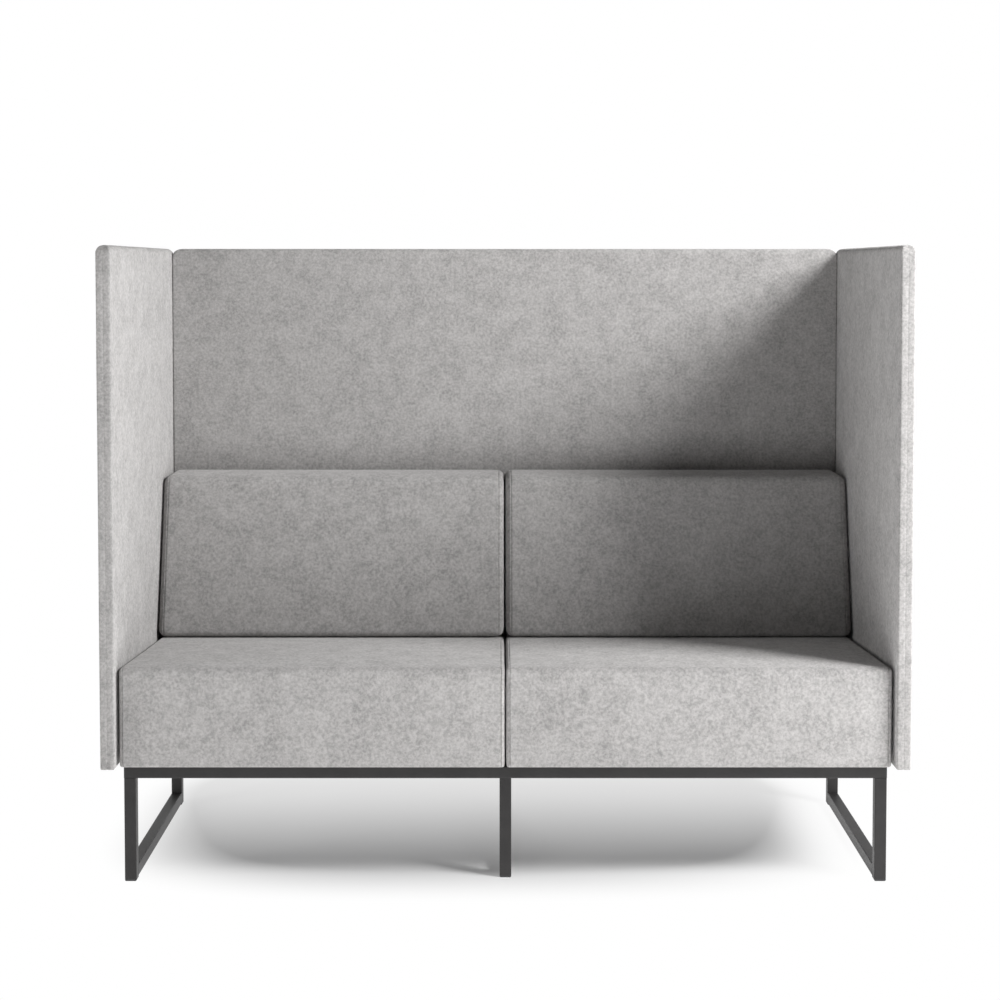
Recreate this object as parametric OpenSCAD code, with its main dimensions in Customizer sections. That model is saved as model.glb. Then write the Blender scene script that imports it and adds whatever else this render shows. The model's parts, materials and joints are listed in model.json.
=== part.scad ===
// High-back sofa for two: box seats and wedge back cushions between three tall padded panels,
// on a welded underframe of square tube with a sled at each end and one in the middle.
// The front faces -Y, +Z is up, and the origin is on the floor under the middle of the sofa.

/* [Overall] */
// Width over the two side panels
overall_w = 1700; // [1500:10:2000]
// Height of the panels above the floor
overall_h = 1345; // [1150:5:1500]
// Depth from the front of the side panels to the face of the back panel
inside_d = 750; // [650:5:850]

/* [Panels] */
// Thickness of a finished panel
panel_t = 30; // [26:1:40]
// Radius of the upper corners of a panel, as its face shows them
panel_corner_r = 22; // [8:1:30]
// Radius of the upper edge of a panel
panel_edge_r = 12.5; // [6:0.5:12.5]
// Radius of the upright and lower edges of a panel
panel_side_r = 6; // [6:0.5:10]
// Thickness of the wool felt on panels and cushions
felt_t = 1.4; // [0.8:0.1:2]
// Thickness of the wadding under the felt of a panel
panel_padding_t = 2.4; // [1.5:0.1:4]
// Width of the slot in the underside of a panel's cover, where the board shows
panel_slot_w = 12; // [6:1:16]
// Gap between the ends of the back panel and the side panels
panel_joint_gap = 3; // [2.8:0.1:5]

/* [Seats] */
// Height of the front edge of a seat above the floor
seat_h = 458; // [400:2:520]
// Thickness of a seat at its front edge, from the underframe up
seat_t = 212.7; // [190:0.1:240]
// Slope of a seat down to the rear, in degrees
seat_rake = 3.6; // [0:0.2:6]
// How far the front of a seat lies behind the front of the side panels
seat_setback = 18; // [5:1:30]
// Gap between a seat and its side panel
seat_side_gap = 3; // [2:0.5:6]
// Gap between the two seats
seat_mid_gap = 3; // [2:0.5:6]
// Gap between a seat and the back panel
seat_rear_gap = 5; // [3:0.5:10]
// Height by which the middle of a seat swells
seat_crown = 9; // [0:0.5:12]
// Radius of the soft front and rear edges of a seat
seat_edge_r = 17; // [10:1:22]
// How far the edges of a cushion are drawn in between its corners
edge_draw = 3; // [0:0.5:4]

/* [Back cushions] */
// Height of a back cushion, measured at its rear
cushion_h = 388; // [340:2:440]
// Depth of a back cushion at its foot
cushion_depth = 251; // [220:1:290]
// Lean of the face of a back cushion, in degrees
cushion_rake = 14.6; // [8:0.2:17]
// Height by which the face of a back cushion swells
cushion_crown = 8; // [0:0.5:12]
// Radius of the soft upper and lower edges of a back cushion
cushion_edge_r = 18; // [10:1:22]
// Thickness of the board at the rear of a back cushion
board_t = 12; // [12:0.5:18]
// Gap between a back cushion and the back panel, where the cleats are
cleat_space = 10; // [9.8:0.1:14]

/* [Upholstery] */
// Upholstery round the sides of a cushion, felt and wadding
side_wrap_t = 7; // [6:0.5:10]
// Upholstery over the face of a cushion, felt and wadding
face_wrap_t = 14; // [8:0.5:20]
// Radius of the sewn edges along the sides of a cushion
side_edge_r = 8; // [5:0.5:12]
// Radius of the edges at the foot of a seat and the rear of a back cushion
base_edge_r = 5; // [2:0.5:8]
// Width of the felt turned in under a cushion, and under the ends of a panel
turn_in_w = 16; // [12:1:20]
// Thickness of the sheet that closes the underside of a seat
dust_cover_t = 0.8; // [0.5:0.1:1.2]

/* [Seat frames] */
// Thickness of the plywood of a seat frame
ply_t = 18; // [15:1:24]
// Height of the walls of a seat frame
seat_frame_h = 90; // [70:2:110]
// Width of the battens across a seat frame
batten_w = 60; // [50:2:90]
// Height of the battens across a seat frame
batten_h = 30; // [24:1:40]
// Width of a webbing band
band_w = 50; // [30:2:60]
// Thickness of a webbing band
band_t = 2; // [1.5:0.1:3]
// Webbing bands in each direction
band_count = 5; // [3:1:7]

/* [Underframe] */
// Side of the square tube
tube_w = 25; // [25:1:35]
// Wall of the square tube
tube_wall = 2; // [1.5:0.1:3]
// Radius of the outer corners of the square tube
tube_corner_r = 2; // [1:0.1:3]
// Distance from the outside of a side panel to the outside of a leg
frame_inset = 44; // [35:1:120]
// How far the front legs lie behind the front of the side panels
frame_setback = 30; // [20:1:60]
// How far the rear legs stand in front of the face of the back panel
frame_rear_setback = 120; // [60:5:180]
// Head of a floor glide
glide_h = 4; // [3:0.5:8]
// Radius of the corners of a floor glide
glide_corner_r = 3; // [1:0.5:4]
// Length of the plug of a floor glide inside its leg
glide_plug_l = 15; // [8:1:25]
// Head of the caps that close the rails
cap_t = 3; // [2:0.5:5]

/* [Fasteners] */
// Diameter of the bolts
bolt_d = 8; // [6:1:8]
// Diameter of the head of a bolt
bolt_head_d = 13; // [11:1:14]
// Height of the head of a bolt
bolt_head_h = 8; // [5:0.5:9]
// Outer diameter of a threaded insert
insert_d = 12; // [11:1:13]
// Length of a threaded insert
insert_l = 16; // [10:1:17]
// Outer diameter of a washer
washer_d = 18; // [16:1:20]
// Thickness of a washer
washer_t = 1.6; // [1:0.2:2]
// Distance between the two seat bolts of one seat along a rail
seat_bolt_pitch = 560; // [400:10:600]
// Distance of the panel bolts and link bolts from the ends of a seat frame
side_bolt_inset = 130; // [90:5:160]
// Diameter of the shank of a screw
screw_d = 4; // [3:0.5:5]
// Diameter of the head of a screw
screw_head_d = 8; // [7:0.5:9]
// Height of the head of a cleat screw
screw_head_h = 2.4; // [1.5:0.1:2.6]
// Length of a cleat screw under its head
screw_l = 14; // [12:0.5:14.5]
// Length of a corner screw
corner_screw_l = 20; // [16:1:24]

/* [Cleats and hooks] */
// Length of a cleat
cleat_l = 120; // [100:5:160]
// Thickness of a cleat
cleat_t = 3; // [2:0.1:3]
// Height of the flat plate of a cleat
cleat_plate_h = 33; // [24:1:40]
// Depth of the tongues of the cleats
tongue_h = 18; // [12:1:24]
// Distance between the two cleats of one cushion
cleat_pitch = 440; // [260:10:520]
// Height of the cushion's cleats above the foot of the cushion
cleat_rise = 262; // [200:2:300]
// Distance between the two screws of one cleat
cleat_screw_pitch = 80; // [40:5:90]
// Thickness of a hook plate or a receiver plate
plate_t = 1.3; // [1:0.1:1.3]
// Width of a hook plate
plate_w = 20; // [16:1:20]
// Height of a hook plate
plate_h = 110; // [90:5:140]
// Distance of the outer hook plates from the ends of the back panel
plate_inset = 130; // [90:5:200]
// Distance between the two screws of one hook plate
plate_screw_pitch = 76; // [60:2:80]
// Thickness of a hook
hook_t = 6; // [4:0.5:7]
// Height of a hook
hook_h = 14; // [10:1:20]
// Reach of a hook into the side panel
hook_reach = 8; // [5:0.5:12]

/* [Hidden] */

LEFT = -1;
RIGHT = 1;
SIDES = [LEFT, RIGHT];

// Clearances
rest_gap = 0.3;
layer_gap = 0.2;
hole_gap = 0.3;
thread_gap = 0.1;
run_gap = 0.3;
overrun = 5;

// Numbers of steps on round forms
round_steps = 48;
corner_steps = 3;
end_steps = 3;
face_steps = 14;
length_steps = 12;

// How flat the swell of a cushion is across its face, and how full it is along it
crown_power = 4;
swell_power = 0.7;

// Places worked out from the sizes above
overall_d = inside_d + panel_t;
front_y = -overall_d / 2;
back_face_y = front_y + inside_d;
side_face_x = overall_w / 2 - panel_t;
frame_h = seat_h - seat_t - rest_gap;
panel_h = overall_h - frame_h;
board_skin = felt_t + panel_padding_t + 2 * layer_gap;
back_panel_w = 2 * (side_face_x - panel_joint_gap);

frame_x = overall_w / 2 - frame_inset;
frame_y0 = front_y + frame_setback;
frame_y1 = back_face_y - frame_rear_setback;
rail_z = frame_h - tube_w;
rail_inner_z = frame_h - tube_wall;
end_tube_x = frame_x - tube_w / 2;
front_rail_y = frame_y0 + tube_w / 2;
rear_rail_y = frame_y1 - tube_w / 2;
centre_front_y = front_rail_y + tube_w;
centre_rear_y = rear_rail_y - tube_w;
plug_w = tube_w - 2 * tube_wall - 2 * hole_gap;

seat_z = frame_h + rest_gap;
seat_y = front_y + seat_setback;
seat_w = side_face_x - seat_side_gap - seat_mid_gap / 2;
seat_x = seat_mid_gap / 2 + seat_w / 2;
seat_d = inside_d - seat_setback - seat_rear_gap;
seat_slope = tan(seat_rake);
seat_rear_h = seat_t - seat_d * seat_slope;

wood_z = felt_t + layer_gap;
wood_w = seat_w - 2 * (side_wrap_t + layer_gap);
wood_y0 = side_wrap_t + layer_gap;
wood_y1 = seat_d - side_wrap_t - layer_gap;
wood_d = wood_y1 - wood_y0;
wood_top = wood_z + seat_frame_h;
webbing_top = wood_top + 2 * band_t;

cushion_y = back_face_y - cleat_space;
sitting_d = cushion_y - seat_y - cushion_depth;
cushion_z = seat_z + seat_t - (cushion_y - seat_y) * seat_slope + rest_gap;
cushion_top_depth = cushion_depth - cushion_h * tan(cushion_rake);
board_back = felt_t + layer_gap;
board_front = board_back + board_t;

bolt_hole_d = bolt_d + 2 * hole_gap;
screw_hole_d = screw_d + 2 * hole_gap;
side_bolt_z = seat_z + wood_z + seat_frame_h / 2;
side_bolt_ys = [wood_y0 + side_bolt_inset, wood_y1 - side_bolt_inset];
rear_bolt_xs = [for (s = SIDES) s * (wood_w / 2 - side_bolt_inset)];
wall_inner_x = seat_x + wood_w / 2 - ply_t;
wall_inner_y = seat_y + wood_y1 - ply_t;
link_x = seat_mid_gap / 2 + side_wrap_t + layer_gap + ply_t;

cleat_z = cushion_z + cleat_rise;
cleat_xs = [for (side = SIDES, along = SIDES) side * seat_x + along * cleat_pitch / 2];
cushion_plate_y = cushion_y - board_back;
hung_tongue_y = back_face_y - cleat_t - run_gap;
wall_tongue_y = hung_tongue_y - cleat_t - run_gap;
wall_cleat_z = cleat_z - tongue_h - cleat_t - run_gap;
cushion_screw_z = cleat_z + cleat_plate_h / 2;
wall_screw_z = wall_cleat_z - cleat_plate_h / 2;

back_end_x = back_panel_w / 2;
plate_zs = [frame_h + plate_inset, frame_h + panel_h / 2, overall_h - plate_inset];
plate_y = back_face_y + panel_t / 2;

felt_grey = "#b3b0ae";
graphite = "#3a393b";
plywood = "#d2b48c";
foam_white = "#efe9d8";
wadding_white = "#f4f3ef";
black_steel = "#38383a";
black_cloth = "#2a2a2c";
nylon_black = "#1f1f20";

// Basic shapes

// Box between two opposite corners
module box(low, high) {
    translate(low) cube(high - low);
}

// Cylinder along X from x0 to x1
module rod_x(x0, x1, y, z, d) {
    translate([min(x0, x1), y, z]) rotate([0, 90, 0])
        cylinder(h = abs(x1 - x0), d = d, $fn = round_steps);
}

// Cylinder along Y from y0 to y1
module rod_y(y0, y1, x, z, d) {
    translate([x, max(y0, y1), z]) rotate([90, 0, 0])
        cylinder(h = abs(y1 - y0), d = d, $fn = round_steps);
}

// Cylinder along Z from z0 to z1
module rod_z(z0, z1, x, y, d) {
    translate([x, y, z0]) cylinder(h = z1 - z0, d = d, $fn = round_steps);
}

// Rectangle with round corners, centred
module round_rectangle(w, h, r) {
    square([w - 2 * r, h], center = true);
    square([w, h - 2 * r], center = true);
    for (x = SIDES, y = SIDES)
        translate([x * (w / 2 - r), y * (h / 2 - r)]) circle(r, $fn = round_steps);
}

// Rectangle with other radii at its top than at its foot, centred
module standing_rectangle(w, h, top_r, foot_r) {
    intersection() {
        translate([0, -top_r]) round_rectangle(w, h + 2 * top_r, top_r);
        translate([0, foot_r]) round_rectangle(w, h + 2 * foot_r, foot_r);
    }
}

// Prism across the width of a cushion, from an outline in its length and its height
module across(w, outline) {
    rotate([90, 0, 90]) linear_extrude(w, center = true) polygon(outline);
}

// Underframe

// Length of square tube, standing on its end
module tube(length) {
    linear_extrude(length) difference() {
        round_rectangle(tube_w, tube_w, tube_corner_r);
        square(tube_w - 2 * tube_wall, center = true);
    }
}

// Square tube along X
module tube_x(x0, x1, y, z) {
    translate([x0, y, z + tube_w / 2]) rotate([0, 90, 0]) tube(x1 - x0);
}

// Square tube along Y
module tube_y(y0, y1, x, z) {
    translate([x, y1, z + tube_w / 2]) rotate([90, 0, 0]) tube(y1 - y0);
}

// Square tube along Z
module tube_z(z0, z1, x, y) {
    translate([x, y, z0]) tube(z1 - z0);
}

// Where the seat bolts pass the rails
module at_seat_bolts() {
    for (side = SIDES, along = SIDES, y = [front_rail_y, rear_rail_y])
        translate([side * seat_x + along * seat_bolt_pitch / 2, y, 0]) children();
}

// The heads of the seat bolts lie inside the rail, and pass its lower wall through wide holes
module rail(y) {
    color(graphite) difference() {
        tube_x(cap_t - frame_x, frame_x - cap_t, y, rail_z);
        at_seat_bolts() {
            rod_z(rail_z - overrun, rail_z + tube_w / 2, 0, 0, washer_d + 2 * hole_gap);
            rod_z(rail_z, frame_h + overrun, 0, 0, bolt_hole_d);
        }
    }
}

module front_rail() {
    rail(front_rail_y);
}

module rear_rail() {
    rail(rear_rail_y);
}

// Tube between the rails above a sled
module top_bar(x) {
    color(graphite) tube_y(frame_y0 + tube_w, frame_y1 - tube_w, x, rail_z);
}

// An end sled stands under the rails. The middle one stands between them, under its bar.
module end_leg(x, y) {
    color(graphite) tube_z(glide_h, rail_z, x, y);
}

module end_runner(x) {
    color(graphite) tube_y(frame_y0 + tube_w, frame_y1 - tube_w, x, glide_h);
}

module centre_runner() {
    color(graphite) tube_y(centre_front_y + tube_w / 2, centre_rear_y - tube_w / 2, 0, glide_h);
}

// Glide that closes the foot of a leg
module floor_glide(x, y) {
    translate([x, y, 0]) {
        intersection() {
            rotate([90, 0, 0]) linear_extrude(tube_w, center = true)
                translate([0, tube_w / 2]) round_rectangle(tube_w, tube_w, glide_corner_r);
            linear_extrude(glide_h) round_rectangle(tube_w, tube_w, tube_corner_r);
        }
        box([-plug_w / 2, -plug_w / 2, glide_h], [plug_w / 2, plug_w / 2, glide_h + glide_plug_l]);
    }
}

module floor_glides() {
    color(nylon_black) {
        for (x = [-end_tube_x, end_tube_x], y = [front_rail_y, rear_rail_y]) floor_glide(x, y);
        for (y = [centre_front_y, centre_rear_y]) floor_glide(0, y);
    }
}

module rail_end_caps() {
    color(nylon_black)
    for (side = SIDES, y = [front_rail_y, rear_rail_y])
        translate([side * frame_x, y, rail_z + tube_w / 2]) mirror([side == RIGHT ? 0 : 1, 0, 0]) {
            rotate([0, -90, 0]) linear_extrude(cap_t) round_rectangle(tube_w, tube_w, tube_corner_r);
            box([-cap_t - glide_plug_l, -plug_w / 2, -plug_w / 2], [-cap_t, plug_w / 2, plug_w / 2]);
        }
}

// Fasteners of the seats

module seat_bolts() {
    head_z = rail_inner_z - washer_t;
    color(black_steel) at_seat_bolts() {
        rod_z(head_z - bolt_head_h, head_z, 0, 0, bolt_head_d);
        rod_z(head_z, seat_z + wood_z + insert_l, 0, 0, bolt_d);
    }
}

module seat_washers() {
    color(black_steel) at_seat_bolts() difference() {
        rod_z(rail_inner_z - washer_t, rail_inner_z, 0, 0, washer_d);
        rod_z(rail_z, frame_h, 0, 0, bolt_hole_d);
    }
}

module seat_inserts() {
    color(black_steel) at_seat_bolts() difference() {
        rod_z(seat_z + wood_z, seat_z + wood_z + insert_l, 0, 0, insert_d);
        rod_z(seat_z, seat_z + wood_z + insert_l + overrun, 0, 0, bolt_d + 2 * thread_gap);
    }
}

// Two bolts tie the inner walls of the seat frames together
module link_bolts() {
    color(black_steel) for (y = side_bolt_ys) {
        rod_x(-link_x - bolt_head_h, -link_x, seat_y + y, side_bolt_z, bolt_head_d);
        rod_x(-link_x, link_x + bolt_head_h, seat_y + y, side_bolt_z, bolt_d);
    }
}

module link_nuts() {
    color(black_steel) for (y = side_bolt_ys)
        difference() {
            rod_x(link_x, link_x + bolt_head_h, seat_y + y, side_bolt_z, bolt_head_d);
            rod_x(link_x - overrun, link_x + bolt_head_h + overrun, seat_y + y, side_bolt_z,
                bolt_d + 2 * thread_gap);
        }
}

// Seats

// Moves what is drawn at the front of one seat's foot to that seat
module at_seat(side) {
    translate([side * seat_x, seat_y, seat_z]) children();
}

// Height of a seat's flat top at a distance from its front
function seat_top(y) = seat_t - y * seat_slope;

// Holes through a seat for its panel bolts and its link bolts, in the sofa's own frame
module seat_side_holes(side, d) {
    for (y = side_bolt_ys)
        rod_x(0, side * (side_face_x + overrun), seat_y + y, side_bolt_z, d);
    for (x = rear_bolt_xs)
        rod_y(seat_y + seat_d / 2, back_face_y + overrun, side * seat_x + x, side_bolt_z, d);
}

module seat_frame(side) {
    inner_w = wood_w - 2 * ply_t;
    rear_batten_y = rear_rail_y - seat_y;
    front_batten_y = front_rail_y - seat_y;
    color(plywood) difference() {
        at_seat(side) {
            difference() {
                box([-wood_w / 2, wood_y0, wood_z], [wood_w / 2, wood_y1, wood_top]);
                box([-inner_w / 2, wood_y0 + ply_t, 0], [inner_w / 2, wood_y1 - ply_t, wood_top + overrun]);
            }
            box([-wood_w / 2, wood_y0, wood_z],
                [wood_w / 2, front_batten_y + batten_w / 2, wood_z + batten_h]);
            box([-wood_w / 2, rear_batten_y - batten_w / 2, wood_z],
                [wood_w / 2, rear_batten_y + batten_w / 2, wood_z + batten_h]);
        }
        seat_side_holes(side, bolt_hole_d);
        at_seat_bolts() rod_z(0, seat_z + wood_z + insert_l + layer_gap, 0, 0, insert_d + 2 * thread_gap);
    }
}

// Bands run front to rear on the frame, and others cross on top of them
module seat_webbing(side) {
    across_pitch = (wood_w - 2 * ply_t) / band_count;
    along_pitch = (wood_d - 2 * ply_t) / band_count;
    color(black_cloth) at_seat(side)
    for (i = [0 : band_count - 1]) {
        x = (i - (band_count - 1) / 2) * across_pitch;
        y = wood_y0 + wood_d / 2 + (i - (band_count - 1) / 2) * along_pitch;
        box([x - band_w / 2, wood_y0 + layer_gap, wood_top],
            [x + band_w / 2, wood_y1 - layer_gap, wood_top + band_t]);
        box([layer_gap - wood_w / 2, y - band_w / 2, wood_top + band_t],
            [wood_w / 2 - layer_gap, y + band_w / 2, webbing_top]);
    }
}

// Hollow of a seat's cover, or the foam in it, from a height up
module seat_fill(side, low, gap) {
    at_seat(side) across(wood_w + 2 * layer_gap - 2 * gap, [
        [wood_y0 - layer_gap + gap, low],
        [wood_y1 + layer_gap - gap, low],
        [wood_y1 + layer_gap - gap, seat_top(wood_y1) - face_wrap_t - gap],
        [wood_y0 - layer_gap + gap, seat_top(wood_y0) - face_wrap_t - gap]
    ]);
}

module seat_foam(side) {
    color(foam_white) seat_fill(side, webbing_top + layer_gap, layer_gap);
}

// Crowned soft form of a cushion

// Outline across a cushion, counterclockwise as seen from its start: half width, height of its face,
// height of its base, radius at the face, radius at the base, and swell of the face
function cushion_outline(half_w, face, base, r, base_r, swell) = concat(
    [for (i = [0 : corner_steps]) let (a = 90 * i / corner_steps - 90)
        [half_w - base_r + base_r * cos(a), base + base_r + base_r * sin(a)]],
    [for (i = [0 : corner_steps]) let (a = 90 * i / corner_steps)
        [half_w - r + r * cos(a), face - r + r * sin(a)]],
    [for (i = [1 : face_steps - 1]) let (u = 1 - 2 * i / face_steps)
        [u * (half_w - r), face + swell * (1 - pow(u, crown_power))]],
    [for (i = [0 : corner_steps]) let (a = 90 + 90 * i / corner_steps)
        [r - half_w + r * cos(a), face - r + r * sin(a)]],
    [for (i = [0 : corner_steps]) let (a = 180 + 90 * i / corner_steps)
        [base_r - half_w + base_r * cos(a), base + base_r + base_r * sin(a)]]
);

// Stations along a cushion as pairs: distance from its start, and share of its edge radii that its
// outline lies inwards
function cushion_stations(length, r) = concat(
    [for (i = [0 : end_steps]) let (a = 90 * i / end_steps) [r * (1 - cos(a)), 1 - sin(a)]],
    [for (i = [1 : length_steps - 1]) [r + (length - 2 * r) * i / length_steps, 0]],
    [for (i = [end_steps : -1 : 0]) let (a = 90 * i / end_steps) [length - r * (1 - cos(a)), 1 - sin(a)]]
);

// Share of the full swell at a distance along a cushion that swells up to a given length
function swell_share(along, swell_length) =
    along >= swell_length ? 0 : pow(sin(180 * along / swell_length), swell_power);

// Soft block: its face slopes from start_h to end_h, its start rises with the height, its edges are
// drawn in between the corners, and its face swells up to swell_length
module cushion_form(w, length, start_h, end_h, r, base_r, crown, swell_length, start_slope) {
    stations = cushion_stations(length, r);
    loops = [for (s = stations)
        let (pull = edge_draw * sin(180 * s[0] / length),
             face = start_h + (end_h - start_h) * s[0] / length - r * s[1],
             outline = cushion_outline(w / 2 - pull - side_edge_r * s[1], face, base_r * s[1],
                 side_edge_r, base_r, crown * swell_share(s[0], swell_length)))
        [for (p = outline)
            let (u = 2 * p[0] / w,
                 drawn = edge_draw * (1 - u * u) * (1 - 2 * s[0] / length),
                 raised = p[1] * start_slope * (1 - s[0] / length))
            [p[0], s[0] + drawn + raised, p[1]]]
    ];
    count = len(loops[0]);
    last = len(loops) - 1;
    middle = start_h / 2;
    start_point = [0, edge_draw + middle * start_slope, middle];
    end_point = [0, length - edge_draw, end_h / 2];
    points = concat([for (loop = loops) each loop], [start_point, end_point]);
    hub = count * (last + 1);
    faces = concat(
        [for (k = [0 : last - 1], i = [0 : count - 1])
            let (j = (i + 1) % count) each [
                [k * count + i, k * count + j, (k + 1) * count + j],
                [k * count + i, (k + 1) * count + j, (k + 1) * count + i]]],
        [for (i = [0 : count - 1]) [hub, (i + 1) % count, i]],
        [for (i = [0 : count - 1]) [hub + 1, last * count + i, last * count + (i + 1) % count]]
    );
    polyhedron(points, faces);
}

module seat_cover(side) {
    color(felt_grey) difference() {
        at_seat(side)
            cushion_form(seat_w, seat_d, seat_t, seat_rear_h, seat_edge_r, base_edge_r, seat_crown,
                sitting_d, 0);
        seat_fill(side, felt_t, 0);
        at_seat(side) box([turn_in_w - seat_w / 2, turn_in_w, -overrun],
            [seat_w / 2 - turn_in_w, seat_d - turn_in_w, felt_t + overrun]);
        seat_side_holes(side, bolt_hole_d);
    }
}

module dust_cover(side) {
    inset = turn_in_w + layer_gap;
    color(black_cloth) difference() {
        at_seat(side) box([inset - seat_w / 2, inset, felt_t - dust_cover_t],
            [seat_w / 2 - inset, seat_d - inset, felt_t]);
        at_seat_bolts() rod_z(0, overall_h, 0, 0, bolt_hole_d);
    }
}

// Back cushions, drawn lying on their rear face with their foot at the start

module at_cushion(side) {
    translate([side * seat_x, cushion_y, cushion_z]) rotate([90, 0, 0]) children();
}

// Depth of a cushion's flat face at a distance from its foot
function cushion_face(along) = cushion_depth + (cushion_top_depth - cushion_depth) * along / cushion_h;

// Slice of the cushion's filling between two depths, or up to its face
module cushion_fill(side, low, high, gap) {
    foot = side_wrap_t + gap;
    head = cushion_h - side_wrap_t - gap;
    foot_high = min(high, cushion_face(foot) - face_wrap_t - gap);
    head_high = min(high, cushion_face(head) - face_wrap_t - gap);
    at_cushion(side) across(seat_w - 2 * side_wrap_t - 2 * gap, [
        [foot + low * seat_slope, low],
        [head, low],
        [head, head_high],
        [foot + foot_high * seat_slope, foot_high]
    ]);
}

module back_board(side) {
    color(plywood) difference() {
        cushion_fill(side, board_back, board_front, layer_gap);
        cushion_screw_holes(side, screw_d + 2 * thread_gap);
    }
}

module back_foam(side) {
    color(foam_white) cushion_fill(side, board_front + layer_gap, cushion_depth, layer_gap);
}

module back_cover(side) {
    color(felt_grey) difference() {
        at_cushion(side)
            cushion_form(seat_w, cushion_h, cushion_depth, cushion_top_depth, cushion_edge_r, base_edge_r,
                cushion_crown, cushion_h, seat_slope);
        cushion_fill(side, felt_t, cushion_depth, 0);
        at_cushion(side) box([turn_in_w - seat_w / 2, turn_in_w, -overrun],
            [seat_w / 2 - turn_in_w, cushion_h - turn_in_w, felt_t + overrun]);
    }
}

// Cleats: the tongue of each cushion cleat hangs behind the tongue of the wall cleat below it

// Profile drawn in Y and Z, run along X
module cleat(x, outline) {
    translate([x, 0, 0]) across(cleat_l, outline);
}

module cleat_screw_places(xs) {
    for (x = xs, s = SIDES) translate([x + s * cleat_screw_pitch / 2, 0, 0]) children();
}

module cushion_screw_holes(side, d) {
    cleat_screw_places([for (s = SIDES) side * seat_x + s * cleat_pitch / 2])
        rod_y(cushion_plate_y - screw_l, back_face_y, 0, cushion_screw_z, d);
}

module cushion_cleats() {
    color(black_steel) difference() {
        for (x = cleat_xs)
            cleat(x, [
                [cushion_plate_y, cleat_z - cleat_t],
                [hung_tongue_y - cleat_t, cleat_z - cleat_t],
                [hung_tongue_y - cleat_t, cleat_z - tongue_h],
                [hung_tongue_y, cleat_z - tongue_h],
                [hung_tongue_y, cleat_z],
                [cushion_plate_y + cleat_t, cleat_z],
                [cushion_plate_y + cleat_t, cleat_z + cleat_plate_h],
                [cushion_plate_y, cleat_z + cleat_plate_h]
            ]);
        cleat_screw_places(cleat_xs)
            rod_y(cushion_plate_y - overrun, back_face_y, 0, cushion_screw_z, screw_hole_d);
    }
}

module wall_cleats() {
    low = wall_cleat_z - cleat_plate_h;
    color(black_steel) difference() {
        for (x = cleat_xs)
            cleat(x, [
                [back_face_y - cleat_t, low],
                [back_face_y, low],
                [back_face_y, wall_cleat_z + cleat_t],
                [wall_tongue_y, wall_cleat_z + cleat_t],
                [wall_tongue_y, cleat_z - cleat_t - run_gap],
                [wall_tongue_y - cleat_t, cleat_z - cleat_t - run_gap],
                [wall_tongue_y - cleat_t, wall_cleat_z],
                [back_face_y - cleat_t, wall_cleat_z]
            ]);
        cleat_screw_places(cleat_xs)
            rod_y(back_face_y - cleat_t - overrun, back_face_y + overrun, 0, wall_screw_z, screw_hole_d);
    }
}

module cleat_screws() {
    color(black_steel) cleat_screw_places(cleat_xs) {
        translate([0, 0, cushion_screw_z]) {
            rod_y(cushion_plate_y + cleat_t, cushion_plate_y + cleat_t + screw_head_h, 0, 0, screw_head_d);
            rod_y(cushion_plate_y + cleat_t - screw_l, cushion_plate_y + cleat_t, 0, 0, screw_d);
        }
        translate([0, 0, wall_screw_z]) {
            rod_y(back_face_y - cleat_t - screw_head_h, back_face_y - cleat_t, 0, 0, screw_head_d);
            rod_y(back_face_y - cleat_t, back_face_y - cleat_t + screw_l, 0, 0, screw_d);
        }
    }
}

// Panels: a board, wadding and felt, open along the underside

// Shape of a panel that much under its surface, standing on z = 0 with its width along X
module panel_core(w, skin) {
    core_w = w - 2 * skin;
    core_t = panel_t - 2 * skin;
    core_h = panel_h - 2 * skin;
    side_r = panel_side_r - skin;
    translate([0, 0, panel_h / 2]) intersection() {
        linear_extrude(core_h, center = true) round_rectangle(core_w, core_t, side_r);
        rotate([90, 0, 0]) linear_extrude(core_t, center = true)
            standing_rectangle(core_w, core_h, panel_corner_r - skin, side_r);
        rotate([90, 0, 90]) linear_extrude(core_w, center = true)
            standing_rectangle(core_t, core_h, panel_edge_r - skin, side_r);
    }
}

module panel_shell(w, outer_skin, inner_skin) {
    difference() {
        panel_core(w, outer_skin);
        panel_core(w, inner_skin);
        box([turn_in_w - w / 2, -panel_slot_w / 2, -overrun],
            [w / 2 - turn_in_w, panel_slot_w / 2, board_skin]);
    }
}

module at_side_panel(side) {
    translate([side * (overall_w - panel_t) / 2, 0, frame_h]) rotate([0, 0, 90]) children();
}

module at_back_panel() {
    translate([0, plate_y, frame_h]) children();
}

// Holes in a side panel for bolts, inserts, hooks and screws
module side_panel_cuts(side, bolt_hole, screw_hole) {
    for (y = side_bolt_ys)
        rod_x(side * (side_face_x - overrun), side * (side_face_x + board_skin + insert_l + layer_gap),
            seat_y + y, side_bolt_z, bolt_hole);
    for (z = plate_zs) {
        hook_cut(side, z, side * (side_face_x - overrun), side * (side_face_x + hook_reach + run_gap));
        for (s = SIDES)
            rod_x(side * (side_face_x - overrun), side * (side_face_x + corner_screw_l),
                plate_y, z + s * plate_screw_pitch / 2, screw_hole);
    }
}

// Room for a hook between two planes across X
module hook_cut(side, z, x0, x1) {
    box([min(x0, x1), plate_y - hook_t / 2 - run_gap, z - hook_h / 2 - run_gap],
        [max(x0, x1), plate_y + hook_t / 2 + run_gap, z + hook_h / 2 + run_gap]);
}

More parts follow.
